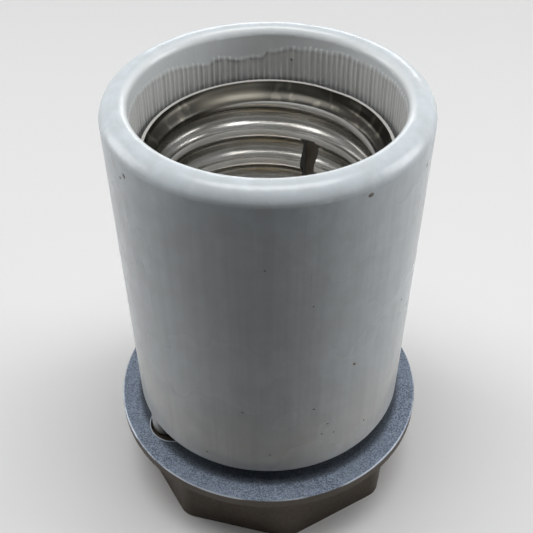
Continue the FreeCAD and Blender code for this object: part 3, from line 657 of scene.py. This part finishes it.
def porcelain_glaze():
    """White glaze with clouds and fine upright streaks, warmer near the skirt, with painted light that lightens the
    throat below the rim.
    """
    s = Shade("porcelain_glaze", (0.72, 0.76, 0.78), 0.13)
    x, y, z = s.split()
    cloud = s.noise(45, 3)
    streaks = s.noise(700, 2, vector=s.stretched(1, 1, 0.02))
    low, high = s.fade(z, *GLAZE_WARMS), s.fade(z, *GLAZE_COOLS)
    clean = s.mix(low, s.mix(high, (0.715, 0.765, 0.79), (0.71, 0.775, 0.82)), (0.73, 0.745, 0.735))
    dull = s.mix(low, s.mix(high, (0.595, 0.635, 0.66), (0.665, 0.725, 0.765)), (0.62, 0.615, 0.585))
    base = s.mix(s.math("ADD", s.math("MULTIPLY", s.ramp(cloud, (0.35, 0.0), (0.7, 1.0)), 0.6),
                        s.math("MULTIPLY", s.ramp(streaks, (0.40, 0.0), (0.60, 1.0)), 0.4)), dull, clean)
    warm = s.math("MULTIPLY", low, s.ramp(s.noise(120, 3), (0.48, 0.0), (0.66, 0.7)))
    base = s.mix(warm, base, (0.62, 0.60, 0.56))
    base = s.mix(s.ramp(s.noise(280, 4), (0.42, 0.0), (0.62, 0.35)), base, (0.56, 0.585, 0.59))
    # painted light: the throat below the rim is lightened
    throat_light = s.math("MULTIPLY", s.fade(s.length(x, y), *THROAT_RADII), s.fade(z, *THROAT_HEIGHTS))
    s.color(s.mix(throat_light, base, THROAT_PAINTED_LIGHT))
    s.roughness(cloud, 0.2, 0.33)
    s.bump(streaks, 0.00006, 0.6)
    s.bump(s.noise(260, 2), 0.00022, 0.45)
    s.bump(s.noise(70, 2), 0.0004, 0.4)
    return s.material


def ribbed_glaze():
    """The thin, dusty glaze over the ribs, darkest along their ragged top, with painted shade between the ribs and
    deeper down.
    """
    s = Shade("ribbed_glaze", (0.6, 0.61, 0.6), 0.35)
    mottle = s.noise(900, 4)
    # dirt along the top, and painted shade in the grooves and deeper down
    dirt_and_shade = s.math("MULTIPLY", s.attribute("grime_and_shade"), s.ramp(mottle, (0.25, 0.55), (0.65, 1.0)))
    base = s.mix(mottle, (0.70, 0.715, 0.705), (0.85, 0.86, 0.845))
    dusty_and_shaded = s.mix(dirt_and_shade, base, (0.12, 0.12, 0.115))
    # the band's top fades into the throat's painted light
    s.color(s.mix(s.attribute("cover"), THROAT_PAINTED_LIGHT, dusty_and_shaded))
    s.roughness(mottle, 0.22, 0.42)
    s.bump(mottle, 0.00006, 0.4)
    return s.material


def speck_brown():
    """Iron specks in the glaze."""
    s = Shade("speck_brown", (0.08, 0.065, 0.055), 0.6)
    s.color(s.mix(s.noise(3000, 2), (0.13, 0.115, 0.105), (0.32, 0.285, 0.26)))
    s.bump(s.noise(6000, 2), 0.00001, 0.4)
    return s.material


def rolled_nickel():
    """Warm bright plating, with a painted dark reflection and a warm painted reflection smear on the collar, painted
    shade in the roots, worn crests with a painted highlight line, a painted highlight along the lip's edge and a dull
    floor.
    """
    s = Shade("rolled_nickel", (0.6, 0.585, 0.545), 0.2, 1.0)
    x, y, z = s.split()
    out, turn = s.length(x, y), s.math("ARCTAN2", y, x)
    lines = s.noise(2600, 2, vector=s.stretched(0.03, 0.03, 1))
    stain = s.noise(150, 4)
    reflection_smear = s.noise(420, 2, vector=s.stretched(1, 1, 0.10))
    collar = s.fade(z, *COLLAR_HEIGHTS)
    above_floor = s.fade(z, *ABOVE_FLOOR)
    crest_wear_and_highlight = s.math("MULTIPLY", s.fade(out, *CREST_RADII), above_floor)
    root = s.math("MULTIPLY", s.fade(out, *ROOT_SHADE_RADII), above_floor)
    # the dull floor, and a painted highlight along the lip's edge
    dull = s.math("MAXIMUM", s.fade(z, *DULL_FLOOR), s.fade(z, *LIP_HIGHLIGHT_HEIGHTS))
    metal = s.mix(s.ramp(stain, (0.42, 0.0), (0.72, 1.0)), (0.62, 0.61, 0.58), (0.46, 0.44, 0.395))
    # painted shade in the thread's roots
    metal = s.mix(s.math("MULTIPLY", root, 0.4), metal, (0.27, 0.255, 0.225))
    warm = s.band(turn, *(math.radians(degrees) for degrees in REFLECTION_SMEAR_AZIMUTHS))
    # painted dark reflection on the collar, with a warm painted reflection smear
    painted_reflection = s.mix(s.math("MAXIMUM", s.ramp(reflection_smear, (0.52, 0.0), (0.76, 0.7)), s.math("MULTIPLY", warm, 0.6)),
                 (0.035, 0.032, 0.025), (0.28, 0.26, 0.21))
    with_painted_reflection = s.mix(s.math("MULTIPLY", collar, 0.9), metal, painted_reflection)
    # crests: wear and a painted highlight line
    worn_and_highlit = s.mix(s.math("MULTIPLY", crest_wear_and_highlight, 0.9), with_painted_reflection, (0.93, 0.92, 0.90))
    s.color(s.mix(dull, worn_and_highlit, (0.78, 0.765, 0.73)))
    rough = s.math("MAXIMUM", lines, s.math("MULTIPLY", dull, 2.1))
    s.roughness(s.math("MAXIMUM", rough, s.math("MULTIPLY", collar, 1.2)), 0.15, 0.33)
    plain = s.math("MAXIMUM", s.math("MULTIPLY", dull, 0.6), s.math("MULTIPLY", crest_wear_and_highlight, 0.75))
    s.links.new(s.math("SUBTRACT", 1.0, plain), s.shader.inputs["Metallic"])
    s.bump(lines, 0.00001, 0.6)
    s.bump(s.noise(240, 2), 0.0001, 0.25)
    return s.material


def pocket_rim(s, x, y):
    """1 on the broken edge round the two pockets, 0 elsewhere; the face gets a painted highlight there."""
    px, py, _ = polar(POCKET_PLACE_RADIUS, POCKET_AZIMUTH, 0)
    near = [s.length(s.math("SUBTRACT", x, px * side), s.math("SUBTRACT", y, py * side)) for side in (1, -1)]
    return s.band(s.math("MINIMUM", *near), POCKET_RADIUS * MM, (POCKET_RADIUS + POCKET_RIM_WIDTH) * MM,
                  POCKET_RIM_SOFT * MM)


def conduit_thread(s, z, out, turn):
    """The female thread's relief in the conduit bore, 0 elsewhere."""
    along = s.math("MULTIPLY", z, 2 * math.pi / (CONDUIT_THREAD_PITCH * MM))
    thread = s.math("SINE", s.math("SUBTRACT", along, turn))
    below, above = CONDUIT_THREAD_ENDS
    cut = s.band(z, below * MM, (CONDUIT_THREAD_LENGTH - above) * MM, CONDUIT_THREAD_SOFT * MM)
    bore = s.math("MULTIPLY", s.fade(out, *BORE_RADII), cut)
    return s.math("MULTIPLY", thread, bore)


def cast_alloy():
    """Speckled blue-grey face; dark brown sides and hub, as-cast skin darkened with painted shade; an edge with wear
    and a painted highlight; and a painted shadow along the skirt.
    """
    s = Shade("cast_alloy", (0.16, 0.19, 0.25), 0.5, 0.6)
    x, y, z = s.split()
    out, turn = s.length(x, y), s.math("ARCTAN2", y, x)
    grain, coarse, patch = s.noise(3200, 3, 0.6), s.noise(900, 3), s.noise(170, 4)
    speckle = s.math("ADD", s.math("MULTIPLY", grain, 0.8), s.math("MULTIPLY", coarse, 0.2))
    face = s.mix(s.ramp(speckle, (0.41, 0.0), (0.60, 1.0)), (0.105, 0.13, 0.175), (0.35, 0.415, 0.52))
    face = s.mix(s.ramp(patch, (0.35, 0.0), (0.7, 0.3)), face, (0.25, 0.30, 0.375))
    # painted shadow on the face along the skirt
    face = s.mix(s.math("MULTIPLY", s.fade(out, *SKIRT_SHADOW_RADII), 0.75), face, (0.03, 0.034, 0.042))
    # sides and hub darker than the face: as-cast brown skin with painted shade
    side = s.mix(patch, (0.048, 0.037, 0.028), (0.085, 0.068, 0.053))
    raw_skin_and_shade = s.mix(patch, (0.038, 0.027, 0.018), (0.072, 0.055, 0.040))
    raw_skin_and_shade = s.mix(s.ramp(speckle, (0.50, 0.0), (0.64, 0.5)), raw_skin_and_shade, (0.12, 0.10, 0.08))
    worn_and_highlit = s.math("MULTIPLY", s.fade(out, *WORN_AND_HIGHLIT_RADII), s.fade(z, *WORN_AND_HIGHLIT_HEIGHTS))
    # wear and a painted highlight on the outer edge, and a painted highlight on the pockets' edge
    edge = s.math("MAXIMUM", s.math("MULTIPLY", worn_and_highlit, s.ramp(patch, (0.38, 0.1), (0.6, 1.0))),
                  s.math("MULTIPLY", pocket_rim(s, x, y), s.fade(z, *POCKET_RIM_HEIGHTS)))
    color = s.mix(s.fade(z, *SIDE_HEIGHTS), raw_skin_and_shade, side)
    color = s.mix(s.fade(z, *FACE_HEIGHTS), color, face)
    s.color(s.mix(edge, color, (0.46, 0.50, 0.56)))
    s.roughness(grain, 0.40, 0.62)
    s.bump(conduit_thread(s, z, out, turn), 0.0004)
    s.bump(speckle, 0.00012, 0.6)
    s.bump(patch, 0.0003, 0.35)
    return s.material


def plain_metal(name, color, dark, roughness):
    """Clean metal, faintly mottled from one colour to a darker one."""
    s = Shade(name, color, roughness, 1.0)
    s.color(s.mix(s.noise(500, 4), color, dark))
    s.roughness(s.noise(900, 2), roughness * 0.7, roughness * 1.4)
    s.bump(s.noise(2500, 2), 0.00002, 0.4)
    return s.material


def finish(node_name, material):
    """Gives a CAD node its material."""
    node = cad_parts[node_name]
    node.data.materials.clear()
    node.data.materials.append(material)


# ---- camera --------------------------------------------------------------------------------
CAMERA_ELEVATION = math.radians(41.05)
CAMERA_DISTANCE = 163.6 * MM
CAMERA_TARGET = Vector((-0.32, 0.0, 46.25)) * MM
CAMERA_ROLL = math.radians(-0.25)
CAMERA_LENS = 60.65          # millimetres, as the sensor's width
CAMERA_SENSOR = 36.0


def add_camera():
    camera = bpy.data.cameras.new("camera")
    camera.lens = CAMERA_LENS
    camera.sensor_width = CAMERA_SENSOR
    camera.clip_start = 0.01
    holder = bpy.data.objects.new("camera", camera)
    bpy.context.scene.collection.objects.link(holder)
    tilt = Matrix.Rotation(math.pi / 2 - CAMERA_ELEVATION, 4, "X")
    roll = Matrix.Rotation(CAMERA_ROLL, 4, "Z")
    back = Vector((0, -math.cos(CAMERA_ELEVATION), math.sin(CAMERA_ELEVATION)))
    holder.matrix_world = Matrix.Translation(CAMERA_TARGET + back * CAMERA_DISTANCE) @ tilt @ roll
    bpy.context.scene.camera = holder


# ---- lights, world and floor ---------------------------------------------------------------
LAMPS_AIM_AT = Vector((0, 0, 0.05))
FLOOR_RADIUS = 0.5
WALLS_END, CEILING_STARTS = 0.15, 0.5     # height parts of a direction, from the horizon up


def add_area(name, place, size, power):
    """A soft rectangular lamp that the camera doesn't see; lengths in metres, power in watts."""
    light = bpy.data.lights.new(name, "AREA")
    light.shape = "RECTANGLE"
    light.size, light.size_y = size
    light.energy = power
    lamp = bpy.data.objects.new(name, light)
    bpy.context.scene.collection.objects.link(lamp)
    lamp.visible_camera = False
    lamp.location = place
    lamp.rotation_euler = (LAMPS_AIM_AT - Vector(place)).to_track_quat("-Z", "Y").to_euler()


def seen_or_mirrored(nodes, links):
    """1 for rays from the camera, off gloss and through glass, 0 for diffuse rays."""
    path = nodes.new("ShaderNodeLightPath")
    value = path.outputs["Is Camera Ray"]
    for kind in ("Is Glossy Ray", "Is Transmission Ray"):
        either = nodes.new("ShaderNodeMath")
        either.operation = "MAXIMUM"
        links.new(value, either.inputs[0])
        links.new(path.outputs[kind], either.inputs[1])
        value = either.outputs[0]
    return value


def add_world(horizon, overhead, ambient):
    """A studio with pale walls and a darker ceiling; diffuse rays get one even, low level."""
    world = bpy.data.worlds.new("studio")
    bpy.context.scene.world = world
    world.use_nodes = True
    nodes, links = world.node_tree.nodes, world.node_tree.links
    background = nodes["Background"]
    background.inputs["Color"].default_value = (0.97, 0.985, 1.0, 1)
    height = nodes.new("ShaderNodeSeparateXYZ")
    links.new(nodes.new("ShaderNodeTexCoord").outputs["Generated"], height.inputs[0])
    seen = nodes.new("ShaderNodeMapRange")
    seen.interpolation_type = "SMOOTHSTEP"
    for name, value in (("From Min", WALLS_END), ("From Max", CEILING_STARTS),
                        ("To Min", horizon), ("To Max", overhead)):
        seen.inputs[name].default_value = value
    links.new(height.outputs["Z"], seen.inputs["Value"])
    strength = nodes.new("ShaderNodeMapRange")
    strength.inputs["To Min"].default_value = ambient
    links.new(seen.outputs["Result"], strength.inputs["To Max"])
    links.new(seen_or_mirrored(nodes, links), strength.inputs["Value"])
    links.new(strength.outputs["Result"], background.inputs["Strength"])


def add_floor(seen, spread):
    """Pale to the eye and in gloss, but spreads less light back onto the object."""
    bpy.ops.mesh.primitive_circle_add(vertices=96, radius=FLOOR_RADIUS, fill_type="NGON")
    floor = bpy.context.object
    floor.name = "floor"
    material = bpy.data.materials.new("floor")
    material.use_nodes = True
    nodes, links = material.node_tree.nodes, material.node_tree.links
    shader = nodes["Principled BSDF"]
    shader.inputs["Roughness"].default_value = 0.9
    level = nodes.new("ShaderNodeMapRange")
    level.inputs["To Min"].default_value = spread
    level.inputs["To Max"].default_value = seen
    links.new(seen_or_mirrored(nodes, links), level.inputs["Value"])
    links.new(level.outputs["Result"], shader.inputs["Base Color"])
    floor.data.materials.append(material)


# ---- put together --------------------------------------------------------------------------
glaze = porcelain_glaze()
ribbed = ribbed_glaze()
nickel = rolled_nickel()
alloy = cast_alloy()
brass = plain_metal("brass", (0.78, 0.60, 0.31), (0.55, 0.40, 0.19), 0.3)
zinc = plain_metal("zinc_plate", (0.66, 0.66, 0.67), (0.48, 0.48, 0.48), 0.3)
spring_wire = plain_metal("spring_wire", (0.45, 0.45, 0.46), (0.32, 0.32, 0.32), 0.35)
strip_metal = plain_metal("spring_strip", (0.22, 0.20, 0.185), (0.13, 0.12, 0.11), 0.45)

shell = screw_shell()
shell.data.materials.append(nickel)
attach(shell, "holder")
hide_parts("screw_shell")

ribs = inner_ribs()
ribs.data.materials.append(ribbed)
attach(ribs, "holder")

for piece, material, slot in ((glaze_specks(), speck_brown(), "porcelain"),
                              (shell_scratches(), nickel, "nickel"),
                              (flange_scratches(), alloy, "cast_alloy")):
    piece.data.materials.append(material)
    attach(piece, "holder")

spring_low, spring_high = (corner[2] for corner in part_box("centre_contact_spring"))
spring = contact_spring(spring_low, spring_high)
spring.data.materials.append(spring_wire)
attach(spring, "holder")
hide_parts("centre_contact_spring")
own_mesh(spring)

finish("porcelain_body", glaze)
finish("base_casting", alloy)
finish("side_contact_strip", strip_metal)
for name in ("live_contact_strap", "centre_contact", "shell_terminal", "live_terminal", "shell_nut_plate"):
    finish(name, brass)
for name in ("shell_terminal_screw", "live_terminal_screw", "shell_screw_strip_side", "shell_screw_far_side",
             "live_fixing_screw", "conduit_grub_screw", "base_screw_right", "base_screw_left",
             "base_washer_right", "base_washer_left", "base_nut_right", "base_nut_left"):
    finish(name, zinc)

add_camera()
add_world(0.78, 0.25, 0.028)
add_floor(0.86, 0.11)
add_area("top_soft", (0.0, -0.01, 0.60), (0.50, 0.24), 2.4)
add_area("back_soft", (0.05, 0.58, 0.22), (0.40, 0.07), 0.5)
add_area("left_soft", (-0.50, 0.12, 0.20), (0.30, 0.35), 1.15)
add_area("right_soft", (0.52, 0.04, 0.20), (0.25, 0.35), 1.35)

bpy.context.scene.view_settings.view_transform = "Standard"
